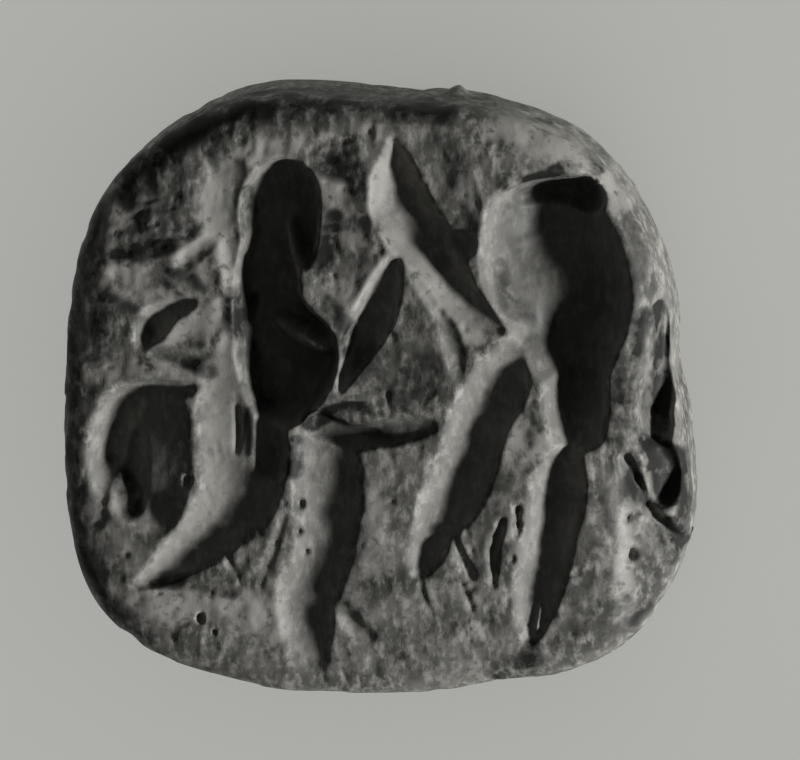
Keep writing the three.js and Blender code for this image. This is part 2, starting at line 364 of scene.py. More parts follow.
# %% Neck, shoulder and the pit under the belly
STEEP_BELLY = 8
carve(
    {
        "neck": [
            (-2.95, 5.4, 0.95, 0.85), (-3.1, 4.9, 1.12, 1.1), (-3.1, 4.0, 1.05, 1.15),
            (-3.4, 3.0, 0.92, 1.1),
        ],
        "shoulder": [
            (-3.4, 3.0, 0.92, 1.1), (-3.4, 2.2, 0.95, 1.25), (-3.15, 1.3, 1.2, 1.4),
            (-2.85, 0.7, 1.45, 1.4),
        ],
        "shoulder, lower end": [
            (-2.85, 0.7, 1.45, 1.4), (-2.95, 0.1, 1.22, 1.3), (-3.05, -0.35, 0.95, 1.1),
            (-3.15, -0.7, 0.65, 0.7),
        ],
        "belly pit": [(-1.9, -1.25, 0.42, 0.7), (-1.2, -1.5, 0.38, 0.6), (-0.5, -1.5, 0.34, 0.45)],
    },
    belly=STEEP_BELLY,
)

# %% Left side of the peak, and the belly
SQUARE_BELLY = 4
carve(
    {
        "peak, left side": [
            (0.3, 3.65, 0.14, 0.08), (0.07, 3.15, 0.34, 0.26), (-0.1, 2.65, 0.48, 0.38),
            (-0.36, 1.95, 0.57, 0.52),
        ],
        "peak, left end": [
            (-0.36, 1.95, 0.57, 0.52), (-0.73, 1.3, 0.52, 0.58), (-1.1, 0.5, 0.33, 0.45),
            (-1.35, -0.2, 0.12, 0.1),
        ],
        "belly": [
            (-0.6, -1.5, 0.34, 0.45), (0.1, -1.35, 0.4, 0.3), (0.7, -1.2, 0.4, 0.25),
            (1.15, -1.15, 0.3, 0.12),
        ],
    },
    belly=SQUARE_BELLY,
)

# %% Cheek of the neck, right side of the peak, and the flank
carve(
    {
        "cheek of the neck": [
            (-4.6, 5.7, 0.8, 0.22), (-4.6, 4.9, 0.9, 0.26), (-4.35, 4.1, 0.5, 0.2),
            (-4.3, 2.6, 0.35, 0.15),
        ],
        "peak, right side": [
            (0.1, 6.9, 0.1, 0.1), (0.2, 6.4, 0.35, 0.38), (0.2, 5.9, 0.62, 0.55),
            (0.35, 5.1, 0.86, 0.75),
        ],
        "peak, right limb": [
            (0.35, 5.1, 0.86, 0.75), (0.75, 4.4, 0.84, 0.8), (1.3, 3.8, 0.78, 0.7),
            (1.65, 3.2, 0.66, 0.55),
        ],
        "peak, right end": [
            (1.65, 3.2, 0.66, 0.55), (1.95, 2.6, 0.62, 0.46), (2.5, 2.1, 0.48, 0.38),
            (3.15, 1.65, 0.25, 0.2),
        ],
        "notch in the peak": [(1.5, 4.05, 0.45, 0.5), (2.2, 4.0, 0.35, 0.4)],
        "flank": [
            (0.7, 3.2, 0.15, 0.06), (1.25, 2.5, 0.25, 0.1), (1.7, 1.6, 0.3, 0.13),
            (1.95, 0.8, 0.3, 0.13),
        ],
        "flank, lower end": [(1.95, 0.8, 0.3, 0.13), (2.1, 0.0, 0.15, 0.08)],
    }
)

# %% [markdown]
# ## The forelegs
#
# One foreleg is bent under the chest, one stands straight, and the foremost is raised and curls round a
# hollow like a bowl. The bowl is broad and shallow, so it is cut as one wide furrow, and the leg runs
# round its edge.

# %% Forelegs
carve(
    {
        "bent leg, thigh": [
            (-4.6, 0.4, 0.7, 0.18), (-4.45, -0.3, 0.95, 0.28), (-4.35, -1.1, 1.1, 0.34),
            (-4.3, -1.9, 1.2, 0.38),
        ],
        "bent leg, knee": [
            (-4.3, -1.9, 1.2, 0.36), (-4.15, -2.7, 1.25, 0.38), (-4.3, -3.4, 1.12, 0.38),
            (-5.0, -4.3, 0.85, 0.42),
        ],
        "bent leg, shank": [
            (-5.0, -4.3, 0.85, 0.43), (-5.8, -5.0, 0.65, 0.4), (-6.5, -5.55, 0.4, 0.28),
            (-7.15, -5.95, 0.15, 0.08),
        ],
        "bent leg, inner line": [
            (-4.35, -0.7, 0.15, 0.4), (-4.28, -1.4, 0.2, 0.52), (-4.35, -2.1, 0.15, 0.48),
        ],
        "bent leg, inside": [
            (-3.5, -0.95, 0.4, 0.5), (-3.4, -1.4, 0.52, 0.62), (-3.4, -1.9, 0.6, 0.66),
            (-3.4, -2.4, 0.6, 0.68),
        ],
        "straight leg": [
            (-2.2, -1.6, 0.5, 0.22), (-1.75, -2.2, 0.95, 0.36), (-1.7, -3.0, 1.05, 0.38),
            (-1.72, -4.0, 0.95, 0.37),
        ],
        "straight shank": [
            (-1.72, -4.0, 0.95, 0.37), (-1.85, -5.0, 0.87, 0.37), (-2.25, -6.0, 0.92, 0.4),
            (-2.3, -7.0, 0.8, 0.32),
        ],
        "straight foot": [(-2.3, -7.0, 0.8, 0.32), (-2.25, -7.9, 0.6, 0.18)],
        "fork": [
            (-2.95, -3.9, 0.1, 0.04), (-3.15, -4.5, 0.15, 0.06), (-3.35, -5.1, 0.16, 0.07),
            (-3.65, -5.9, 0.1, 0.04),
        ],
        "hoof": [(-1.35, -6.4, 0.25, 0.1), (-1.0, -6.9, 0.32, 0.17), (-0.55, -7.3, 0.25, 0.1)],
        "raised leg": [
            (-5.6, -0.25, 0.2, 0.15), (-6.6, -0.4, 0.42, 0.48), (-7.4, -0.85, 0.65, 0.8),
            (-7.8, -1.6, 0.68, 0.95),
        ],
        "raised foot": [
            (-7.8, -1.6, 0.68, 0.95), (-7.92, -2.4, 0.66, 0.9), (-8.0, -3.0, 0.46, 0.45),
            (-8.1, -3.5, 0.2, 0.1),
        ],
        "inside the raised leg": [
            (-6.75, -1.3, 1.2, 0.65), (-6.8, -2.4, 1.3, 0.62), (-6.7, -3.2, 1.0, 0.48),
            (-6.6, -3.9, 0.7, 0.25),
        ],
        "between the raised foot and the bowl": [
            (-7.2, -1.8, 0.6, 0.75), (-7.3, -2.8, 0.75, 0.85), (-7.3, -3.5, 0.6, 0.6),
        ],
    }
)

# %% [markdown]
# ## The head and the tail
#
# The head is small and cut with short light strokes: brow, eye, cheek, jowl, ear and horn. The tail is
# a narrow, deep stroke along the right edge. Below it the edge is chipped, and the chips are cut here
# in the same way, because a chip is also a hollow with a width and a depth.

# %% Head
carve(
    {
        "brow": [
            (-7.7, 2.9, 0.35, 0.12), (-7.0, 2.65, 0.5, 0.18), (-6.4, 2.3, 0.48, 0.2),
            (-5.9, 2.05, 0.35, 0.25),
        ],
        "eye": [
            (-6.9, 1.15, 0.35, 0.3), (-6.65, 1.6, 0.48, 0.4), (-6.1, 2.05, 0.38, 0.34),
            (-5.6, 2.15, 0.22, 0.22),
        ],
        "cheek": [(-5.85, 1.0, 0.45, 0.1), (-5.55, 1.4, 0.6, 0.15), (-5.2, 1.85, 0.5, 0.12)],
        "jowl": [(-5.1, 1.25, 0.4, 0.08), (-4.85, 1.65, 0.5, 0.13), (-4.6, 2.1, 0.4, 0.1)],
        "below the cheek": [(-6.5, 0.8, 0.25, 0.14), (-5.9, 0.65, 0.32, 0.2), (-5.2, 0.7, 0.25, 0.14)],
        "ear": [(-4.5, 1.6, 0.25, 0.1), (-4.5, 1.0, 0.38, 0.16), (-4.55, 0.3, 0.35, 0.12)],
        "horn": [(-5.85, 3.3, 0.25, 0.07), (-5.4, 3.65, 0.3, 0.1), (-4.95, 4.05, 0.25, 0.07)],
    }
)

# %% Tail and the edge below it
carve(
    {
        "tail": [
            (7.6, 2.5, 0.15, 0.5), (7.63, 1.8, 0.24, 0.85), (7.62, 1.0, 0.28, 0.95),
            (7.58, 0.3, 0.38, 1.05),
        ],
        "tail, middle": [
            (7.58, 0.3, 0.38, 1.05), (7.5, -0.4, 0.55, 1.1), (7.5, -1.3, 0.5, 0.95),
            (7.6, -2.0, 0.25, 0.5),
        ],
        "across the edge": [
            (6.7, -2.0, 0.2, 0.25), (7.1, -3.0, 0.22, 0.35), (7.6, -3.9, 0.25, 0.45),
            (8.1, -4.5, 0.25, 0.8),
        ],
        "chip in the edge": [(7.5, -1.7, 0.35, 0.5), (7.8, -2.4, 0.5, 0.8), (7.75, -3.1, 0.4, 0.65)],
        "nick in the edge": [(8.0, -4.7, 0.2, 0.7), (8.3, -4.75, 0.22, 1.0)],
    }
)

# %% [markdown]
# ## Thin lines, pits and ridges
#
# A fine graver left thin lines between the legs, and grains that fell out left pits, which are short
# ovals about as deep as they are wide. In a few of the cuts a ridge of stone was left standing between
# two strokes. Ridges are worked out like cuts and then taken off the depth.

# %% Thin lines
carve(
    {
        "line by the bent leg": [
            (-4.75, -4.1, 0.1, 0.1), (-4.6, -4.9, 0.12, 0.12), (-4.2, -5.8, 0.07, 0.07),
        ],
        "wedge": [(1.85, -4.2, 0.08, 0.08), (2.05, -4.8, 0.18, 0.18), (2.35, -5.4, 0.2, 0.16)],
        "line by the wedge": [(2.1, -5.7, 0.1, 0.1), (2.4, -6.4, 0.1, 0.1)],
        "line under the foot": [(0.95, -5.6, 0.1, 0.1), (1.0, -6.0, 0.1, 0.1), (1.25, -6.6, 0.06, 0.06)],
        "line by the shank": [(3.25, -3.8, 0.12, 0.14), (3.0, -4.7, 0.2, 0.22), (3.0, -5.7, 0.1, 0.1)],
        "short line": [(3.65, -3.4, 0.1, 0.14), (3.7, -4.2, 0.12, 0.16)],
    }
)

# %% Pits
PIT_DEPTH = 1.3  # as a share of its half width
PIT_LENGTH = 0.5
PITS = {  # place and half width
    "right edge": [(7.4, -0.8, 0.15), (6.75, -3.7, 0.13)],
    "hind legs": [(3.55, -4.9, 0.12), (6.6, -6.0, 0.13)],
    "bowl": [(-5.7, -2.85, 0.13)],
    "straight leg": [(-2.5, -3.45, 0.15), (-2.55, -4.25, 0.12), (-2.35, -4.85, 0.1)],
    "lower left field": [(-5.35, -6.8, 0.14), (-4.95, -7.2, 0.08)],
    "below the tail": [(6.8, -4.75, 0.2)],
    "between the hind legs": [(3.7, -3.5, 0.1), (3.72, -3.9, 0.1)],
    "beside the chip": [(7.0, -3.6, 0.1)],
}


def pit(x, y, half):
    """The points of one short oval pit."""
    return [(x, y, half, PIT_DEPTH * half), (x, y - PIT_LENGTH * half, half, PIT_DEPTH * half)]


for where, pits in PITS.items():
    hollow({f"{where}, pit {number}": pit(*place) for number, place in enumerate(pits, start=1)})

# %% Ridges of stone left standing
leave(
    {
        "streak in the neck": [(-2.85, 4.4, 0.15, 0.5), (-2.7, 3.7, 0.22, 0.8), (-2.45, 3.0, 0.25, 0.88)],
        "in the shoulder": [(-3.1, 1.6, 0.3, 0.6), (-2.5, 1.25, 0.42, 0.9), (-1.9, 1.0, 0.38, 1.0)],
        "inside the raised leg": [(-6.3, -1.4, 0.85, 0.24), (-6.45, -2.6, 0.95, 0.28)],
        "standing foot": [(4.3, -6.3, 0.06, 0.12), (4.2, -7.0, 0.08, 0.16)],
    }
)

# %% [markdown]
# ## Wear
#
# A seal that was carried and used for years has no sharp edge left. A bevel would need every edge to be
# picked out. Two rounds of averaging each height with its neighbours soften all the cuts by about a
# tenth of a millimetre at once, as rubbing does.


# %% Soften the cuts
def rub(heights, rounds):
    """Averages a grid of heights with their neighbours, keeping the outermost points."""
    for _ in range(rounds):
        padded = np.pad(heights, 1, mode="edge")
        sides = padded[:-2, 1:-1] + padded[2:, 1:-1] + padded[1:-1, :-2] + padded[1:-1, 2:]
        heights = heights / 2 + sides / 8
    return heights


RUBS = 2
DEEP = rub(np.maximum(CUTS - RIDGES, 0.0), RUBS)
print(f"cut away {DEEP.mean():.2f} mm on average over the face")

# %% [markdown]
# ## Uneven stone
#
# Ground stone is never quite true. Smooth random noise, made on a coarse lattice and blended between
# its points, gives slow waves, a pocked grain, fine upright streaks from grinding, and pits where
# grains have fallen out.


# %% Random noise on a lattice
LATTICE_SIZE = 257
FIRST_TURN = 20
NEXT_TURN = 25
LATTICE_STRETCH = 1.1


def lattice_noise(x, y, cell_x, cell_y, seed):
    """Smooth noise between -1 and 1, with features about one cell wide."""
    lattice = np.random.default_rng(seed).uniform(-1, 1, (LATTICE_SIZE, LATTICE_SIZE))
    u, v = x / cell_x + LATTICE_SIZE / 2, y / cell_y + LATTICE_SIZE / 2
    i, j = np.floor(u).astype(int), np.floor(v).astype(int)
    s, t = u - i, v - j
    s, t = s * s * (3 - 2 * s), t * t * (3 - 2 * t)
    i, j = i % (LATTICE_SIZE - 1), j % (LATTICE_SIZE - 1)
    low = lattice[j, i] * (1 - s) + lattice[j, i + 1] * s
    high = lattice[j + 1, i] * (1 - s) + lattice[j + 1, i + 1] * s
    return low * (1 - t) + high * t


def turned_noise(x, y, cell, seed):
    """Noise on a lattice that is turned, so that no rows show along the face."""
    turn = math.radians(FIRST_TURN + NEXT_TURN * seed)
    turned_x = x * math.cos(turn) + y * math.sin(turn)
    turned_y = y * math.cos(turn) - x * math.sin(turn)
    return lattice_noise(turned_x, turned_y, cell, cell * LATTICE_STRETCH, seed)


print(f"noise with cells of 1 mm spreads by {turned_noise(X, Y, 1.0, 1).std():.2f} about its mean")

# %% Helper: strength of a patch
def patches_at(x, y, patches):
    """How strong the patches are at each point. Each has a strength and a few points with half widths."""
    strength = np.zeros_like(x)
    for share, points in patches.values():
        line = [(px, py, half, 1.0) for px, py, half in points]
        strength = np.maximum(strength, share * np.sqrt(furrow(x, y, line, SOFT_BELLY)))
    return strength


trial = patches_at(np.array([0.5]), np.zeros(1), {"trial": (1.0, [(0, -1, 1.0), (0, 1, 1.0)])})
print(f"halfway out, a patch keeps {trial[0]:.0%} of its strength")

# %% Waves, grain, streaks and pocks
WAVES = [(0.035, 1.9, 1), (0.03, 0.75, 2)]  # depth and cell in mm, and a seed
GRAINS = [(0.028, 0.42, 3), (0.014, 0.24, 4), (0.005, 0.14, 5)]
STREAK_DEPTH = 0.01
STREAK_CELL = (0.2, 0.6)
POCK_DEPTH = 0.12
POCK_CELL = 0.3
POCKS_ABOVE = 0.55  # how rare the pocks are
GROUND_SMOOTHING = 0.5  # the cuts are ground smoother than the face
GROUND_DEPTH = 0.2
EDGE_FADE = 0.08
LEAST_BELOW_TOP = 0.002
ROUGHER = {
    "upper left": (0.7, [(-7, 3.5, 2.5), (-5.5, 5.5, 2.2), (-3, 7.2, 1.3), (0, 7.4, 1)]),
    "chip in the edge": (3.0, [(7.5, -1.8, 0.5), (7.9, -2.5, 0.7), (7.8, -3.2, 0.5)]),
}
waves = sum(depth * turned_noise(X, Y, cell, seed) for depth, cell, seed in WAVES)
grains = sum(depth * turned_noise(X, Y, cell, seed) for depth, cell, seed in GRAINS)
streaks = STREAK_DEPTH * lattice_noise(X, Y, *STREAK_CELL, 6)
pocks = -POCK_DEPTH * np.maximum(turned_noise(X, Y, POCK_CELL, 7) - POCKS_ABOVE, 0.0)
rough = 1 + patches_at(face_x, face_y, ROUGHER)
ground = 1 - GROUND_SMOOTHING * np.clip(DEEP / GROUND_DEPTH, 0.0, 1.0)
near_girdle = np.clip((1 - SHARE) / EDGE_FADE, 0.0, 1.0)
UNEVEN = (waves + (grains + streaks) * ground * rough + pocks * ground) * near_girdle
UNCUT = face_height(SHARE, np.arctan2(Y, X))
Z = np.minimum(UNCUT - HOLLOWS - DEEP + UNEVEN, HEIGHT - LEAST_BELOW_TOP)
print(f"the face is uneven by {UNEVEN.std():.3f} mm")

# %% [markdown]
# ## Pale and dark places: wear, stains, painted highlights and painted shade
#
# Handling rubs the high places pale, and dirt and old breaks stay dark. Many of the pale places are also
# painted highlights, laid on walls and mounds that the lamp would light, and many of the dark places are
# painted shade, laid in cuts, on edges and on the sides turned from the lamp. A plain noise can't know
# where those places are, so each one is named here by a few points and half widths, and its strength is
# kept with the mesh as an attribute that the finish reads. The noise then breaks up its edges. A strength
# above 1 is for a place where the noise should hardly show through.


# %% Pale wear and painted highlights
# Pale patches: a few are wear, and most are painted highlights on walls and mounds that face the lamp.
PALE_WEAR_AND_PAINTED_LIGHT = patches_at(
    face_x,
    face_y,
    {
        "beside the neck": (1.2, [(-4.5, 5.9, 0.4), (-4.8, 5.2, 0.5), (-4.8, 4.4, 0.35), (-4.5, 2.8, 0.15)]),
        "above the neck": (0.9, [(-4.3, 6.2, 0.35), (-3.6, 6.6, 0.35), (-2.9, 6.6, 0.3)]),
        "above the peak": (0.6, [(-0.8, 7.4, 0.35), (-0.3, 7.2, 0.3)]),
        "peak, left of the furrow": (0.8, [
            (-0.15, 6.3, 0.15), (-0.3, 5.7, 0.35), (-0.6, 5.1, 0.35), (-0.6, 4.2, 0.3),
        ]),
        "peak, below the furrow": (0.9, [
            (0.4, 4.0, 0.45), (0.9, 3.3, 0.4), (1.5, 2.4, 0.45), (2.4, 1.5, 0.4),
        ]),
        "peak, left limb": (1.2, [(-0.1, 3.9, 0.3), (-0.65, 3.1, 0.35), (-1.0, 2.3, 0.25)]),
        "trunk, upper": (0.8, [(-1.6, 5.5, 0.45), (-1.3, 5.0, 0.4)]),
        "trunk, bar": (0.8, [(-1.6, 4.1, 0.2), (-0.8, 4.1, 0.25), (-0.1, 4.1, 0.25)]),
        "trunk, lower": (0.3, [(-2.2, 2.5, 0.3), (-1.2, 2.6, 0.4)]),
        "brow": (1.0, [(-7.8, 3.2, 0.35), (-7.0, 2.85, 0.4), (-6.3, 2.45, 0.3), (-5.7, 2.35, 0.2)]),
        "cheek": (1.0, [(-6.35, 1.15, 0.32), (-5.9, 1.5, 0.42), (-5.5, 1.85, 0.35)]),
        "jowl": (1.0, [(-5.3, 1.4, 0.3), (-5.0, 1.75, 0.38), (-4.7, 2.1, 0.3)]),
        "ear": (1.0, [(-4.6, 1.5, 0.25), (-4.6, 0.9, 0.3), (-4.65, 0.3, 0.28)]),
        "horn": (1.0, [(-6.0, 3.5, 0.22), (-5.5, 3.85, 0.28), (-5.0, 4.2, 0.25)]),
        "spot by the edge": (1.0, [(-7.85, 5.0, 0.5), (-7.7, 4.6, 0.45)]),
        "above the raised leg": (0.7, [
            (-8.4, 0.1, 0.35), (-7.3, 0.3, 0.25), (-6.3, 0.35, 0.3), (-5.2, 0.2, 0.35),
        ]),
        "heel": (0.9, [(3.7, -1.1, 0.35), (3.6, -1.8, 0.4), (4.6, -1.6, 0.4)]),
        "arch of the straight leg": (0.8, [(-3.1, -1.2, 0.25), (-2.7, -0.9, 0.2), (-2.1, -1.3, 0.25)]),
        "lower left field": (1.0, [
            (-7.0, -6.3, 0.5), (-5.9, -6.5, 0.6), (-4.5, -6.3, 0.5), (-3.4, -6.9, 0.7),
        ]),
        "left field": (0.5, [(-8.1, -3.2, 0.5), (-7.9, -4.3, 0.6), (-7.2, -5.2, 0.5)]),
        "thigh": (0.5, [(-4.9, -0.2, 0.45), (-4.85, -1.5, 0.5), (-4.8, -2.8, 0.6), (-5.3, -3.9, 0.45)]),
        "shank": (0.5, [(-5.3, -3.9, 0.45), (-6.0, -4.6, 0.4), (-6.7, -5.3, 0.3), (-7.2, -5.75, 0.15)]),
        "upper right shoulder": (1.0, [(3.0, 7.3, 0.4), (4.3, 7.1, 0.65), (5.6, 6.4, 0.7), (6.5, 5.3, 0.5)]),
        "edge of the tail": (0.3, [(6.9, 2.5, 0.3), (7.0, 1.0, 0.3), (7.0, -1.0, 0.3), (6.6, -3.0, 0.35)]),
        "below the tail": (0.6, [(6.6, -3.0, 0.35), (6.6, -4.5, 0.35), (6.7, -5.8, 0.3), (6.9, -6.6, 0.25)]),
        "right of the peak": (0.8, [(2.1, 6.1, 0.3), (2.4, 5.4, 0.35), (2.5, 4.9, 0.3)]),
        "chip above the edge": (0.8, [(7.3, -3.0, 0.25), (7.5, -3.8, 0.25)]),
        "middle field": (0.6, [(-0.4, -5.3, 0.4), (-0.3, -3.0, 0.3)]),
    },
)
CLEARLY = 0.3
print(f"{(PALE_WEAR_AND_PAINTED_LIGHT > CLEARLY).mean():.0%} of the face is rubbed pale")

# %% Dark stains and painted shade
# Dark patches: a few are stains and breaks, and most are painted shade in the cuts, on the edges and on the
# sides turned from the lamp.
STAINS_AND_PAINTED_SHADE = patches_at(
    face_x,
    face_y,
    {
        "upper band": (1.2, [
            (-7.6, 5.3, 0.5), (-6.3, 6.7, 0.6), (-4.4, 7.6, 0.6), (-2.4, 7.95, 0.6), (-0.6, 7.9, 0.55),
            (1.5, 7.7, 0.45),
        ]),
        "upper left field": (0.5, [(-6.2, 4.6, 1.0), (-5.9, 5.6, 0.7)]),
        "before the brow": (1.0, [(-8.2, 2.0, 0.35), (-8.1, 1.0, 0.4), (-8.3, 0.5, 0.3)]),
        "trunk": (1.2, [(-1.7, 6.3, 0.6), (-0.9, 5.9, 0.35), (-0.95, 5.5, 0.2)]),
        "beside the peak": (0.5, [(1.3, 6.6, 0.7), (1.6, 5.7, 0.4)]),
        "under the trunk": (0.8, [(-0.5, 0.5, 0.7), (0.0, -0.3, 0.5), (0.8, 0.5, 0.8)]),
        "chip in the edge": (2.0, [(7.4, -1.9, 0.45), (7.9, -2.3, 0.6), (7.9, -3.0, 0.5)]),
        "across the edge": (1.0, [(6.7, -2.2, 0.2), (7.2, -3.3, 0.15), (7.7, -4.2, 0.2), (8.0, -4.95, 0.3)]),
        "lower right field": (0.7, [(6.9, -6.3, 0.5), (6.3, -6.8, 0.7), (5.4, -7.1, 0.6)]),
        "lower edge": (1.2, [(3.2, -8.4, 0.35), (3.9, -8.05, 0.45), (4.1, -7.5, 0.3)]),
        "between the hind legs": (0.5, [(3.3, -2.6, 0.4), (2.9, -4.0, 0.4), (2.6, -5.0, 0.4)]),
        "right of the haunch": (1.1, [
            (6.6, 0.8, 0.2), (6.5, -0.6, 0.3), (6.4, -1.4, 0.35), (6.9, -1.7, 0.35),
        ]),
        "trunk, lower": (1.2, [(-2.1, 3.1, 0.4), (-1.7, 3.8, 0.35), (-1.5, 4.7, 0.3)]),
        "behind the arch": (1.2, [(-2.6, -1.7, 0.25), (-2.65, -2.5, 0.3)]),
        "upper edge": (1.2, [
            (-8.3, 5.2, 0.4), (-7.2, 6.5, 0.4), (-5.95, 7.4, 0.45), (-4.3, 8.1, 0.45), (-1.0, 8.0, 0.4),
            (1.0, 7.75, 0.35),
        ]),
        "top of the neck": (1.0, [(-4.05, 5.4, 0.18), (-4.05, 4.6, 0.25), (-4.35, 3.9, 0.2)]),
        "beside the haunch": (0.4, [(6.3, 5.2, 0.25), (6.9, 4.2, 0.3), (7.2, 3.0, 0.25)]),
        "right field": (0.5, [(5.7, -4.4, 0.4), (5.8, -5.4, 0.5), (5.6, -6.3, 0.5)]),
        "lower right rim": (1.0, [(7.6, -5.4, 0.25), (7.3, -6.2, 0.3), (6.9, -6.8, 0.25)]),
        "belly": (0.8, [(-1.6, -1.0, 0.2), (0.0, -1.4, 0.4), (1.2, -1.35, 0.35)]),
        "left edge": (1.3, [
            (-8.3, 4.9, 0.3), (-9.05, 2.5, 0.3), (-9.3, 0.0, 0.35), (-9.3, -3.0, 0.35),
            (-8.9, -5.2, 0.35), (-7.9, -7.0, 0.3),
        ]),
        "beside the inner line": (1.0, [(-4.0, -0.9, 0.15), (-3.95, -1.6, 0.15), (-4.0, -2.1, 0.12)]),
        "between shoulder and foreleg": (0.9, [(-4.0, -0.1, 0.25), (-3.6, -0.7, 0.3)]),
        "wall of the shoulder": (1.0, [(-4.0, 2.2, 0.25), (-4.05, 1.7, 0.15)]),
        "tail": (2.0, [
            (7.55, 2.2, 0.15), (7.6, 1.6, 0.2), (7.62, 0.8, 0.25), (7.6, -0.2, 0.3), (7.6, -1.2, 0.25),
        ]),
        "behind the horn": (1.4, [(-5.7, 4.3, 0.4), (-6.6, 3.8, 0.4), (-7.7, 3.5, 0.25)]),
        "below the horn": (0.9, [(-6.2, 3.1, 0.15), (-5.6, 2.9, 0.25), (-5.2, 2.6, 0.15)]),
        "throat": (1.0, [(-6.6, 0.8, 0.25), (-5.9, 0.6, 0.2), (-5.1, 0.25, 0.3)]),
        "above the heel": (0.8, [(4.25, -0.5, 0.2), (4.2, -0.9, 0.2)]),
        "above the haunch": (1.4, [(3.3, 5.8, 0.3), (4.0, 5.9, 0.15), (5.35, 6.2, 0.35), (5.9, 6.1, 0.2)]),
        "below the shank": (1.0, [(-6.7, -5.9, 0.15), (-5.6, -5.8, 0.3), (-4.4, -6.0, 0.3)]),
        "foot of the bowl": (1.1, [(-8.0, -2.5, 0.25), (-7.5, -3.2, 0.35), (-7.3, -3.8, 0.35)]),
        "beside the shoulder": (1.1, [
            (-4.4, 2.4, 0.35), (-4.3, 1.6, 0.4), (-4.0, 0.6, 0.25), (-3.55, -0.6, 0.4),
        ]),
        "inside the shoulder": (1.0, [(-1.7, 2.3, 0.25), (-1.2, 1.6, 0.3), (-1.3, 0.9, 0.25)]),
        "haunch, left edge": (0.8, [(3.1, 3.4, 0.2), (3.4, 2.3, 0.3), (4.3, 1.7, 0.35), (4.0, 1.0, 0.3)]),
        "edge beside the tail": (1.1, [
            (7.2, 2.0, 0.3), (7.0, 0.9, 0.25), (6.95, -1.4, 0.4), (6.8, -3.2, 0.3),
        ]),
        "left edge, upper end": (0.8, [(-9.0, 3.2, 0.3), (-8.6, 4.6, 0.35), (-7.9, 6.0, 0.3)]),
        "belly arch": (1.5, [(-2.15, -1.15, 0.35), (-1.0, -0.65, 0.2), (0.6, -0.9, 0.25)]),
        "edge below the chip": (2.0, [(7.95, -4.0, 0.3), (8.25, -4.6, 0.3)]),
        "below the brow": (0.8, [(-7.7, 2.2, 0.25), (-7.2, 2.0, 0.2)]),
        "lower right edge": (1.0, [(8.5, -4.0, 0.3), (8.2, -4.9, 0.25)]),
        "haunch, right edge": (0.7, [(6.7, 4.7, 0.25), (7.0, 3.6, 0.35), (7.2, 2.8, 0.3)]),
        "muzzle": (0.8, [(-7.1, 1.5, 0.35), (-6.6, 0.9, 0.25)]),
        "lower left rim": (0.7, [(-8.0, -6.4, 0.3), (-7.3, -7.0, 0.3)]),
        "above the shoulder line": (0.9, [(-5.0, 6.4, 0.25), (-4.9, 6.0, 0.15)]),
        "edge right of the chip": (1.5, [(8.4, -3.2, 0.3), (8.4, -3.7, 0.3)]),
    },
)
print(f"{(STAINS_AND_PAINTED_SHADE > CLEARLY).mean():.0%} of the face is stained dark")

# %% Let the patches fade down the side
FADE_FROM = 6.9
FADE_TO = 4.6
SIDE_SHARE = 0.15
fade = np.clip((UNCUT - FADE_TO) / (FADE_FROM - FADE_TO), SIDE_SHARE, 1.0)
PALE_WEAR_AND_PAINTED_LIGHT = PALE_WEAR_AND_PAINTED_LIGHT * fade
STAINS_AND_PAINTED_SHADE = STAINS_AND_PAINTED_SHADE * fade
print(f"at the girdle the patches keep {fade.min():.0%} of their strength")

# %% [markdown]
# ## The back
#
# The back carries no carving, so it needs fewer points. Each ring below the girdle follows the outline,
# and now and then a ring has half the points of the one above it, joined by a row of triangles. A
# separate dome would be easier, but it would leave a seam, and a stone has none. The pale wear with its
# painted highlights, and the stains with their painted shade, run on past the girdle and fade out.

# %% Squares of the face
GRID_SIZE = 2 * RINGS + 1
index = np.arange(GRID_SIZE**2).reshape(GRID_SIZE, GRID_SIZE)
squares = np.stack([index[:-1, :-1], index[:-1, 1:], index[1:, 1:], index[1:, :-1]], axis=-1).reshape(-1, 4)
points = [np.stack([X, Y, Z], axis=-1).reshape(-1, 3)]
faces = squares.tolist()
lower_side, right_side = index[0, :-1], index[:-1, -1]
upper_side, left_side = index[-1, :0:-1], index[:0:-1, 0]
GIRDLE = np.concatenate([lower_side, right_side, upper_side, left_side])  # anticlockwise, seen from above
print(f"{len(faces)} squares, with {len(GIRDLE)} points along the girdle")

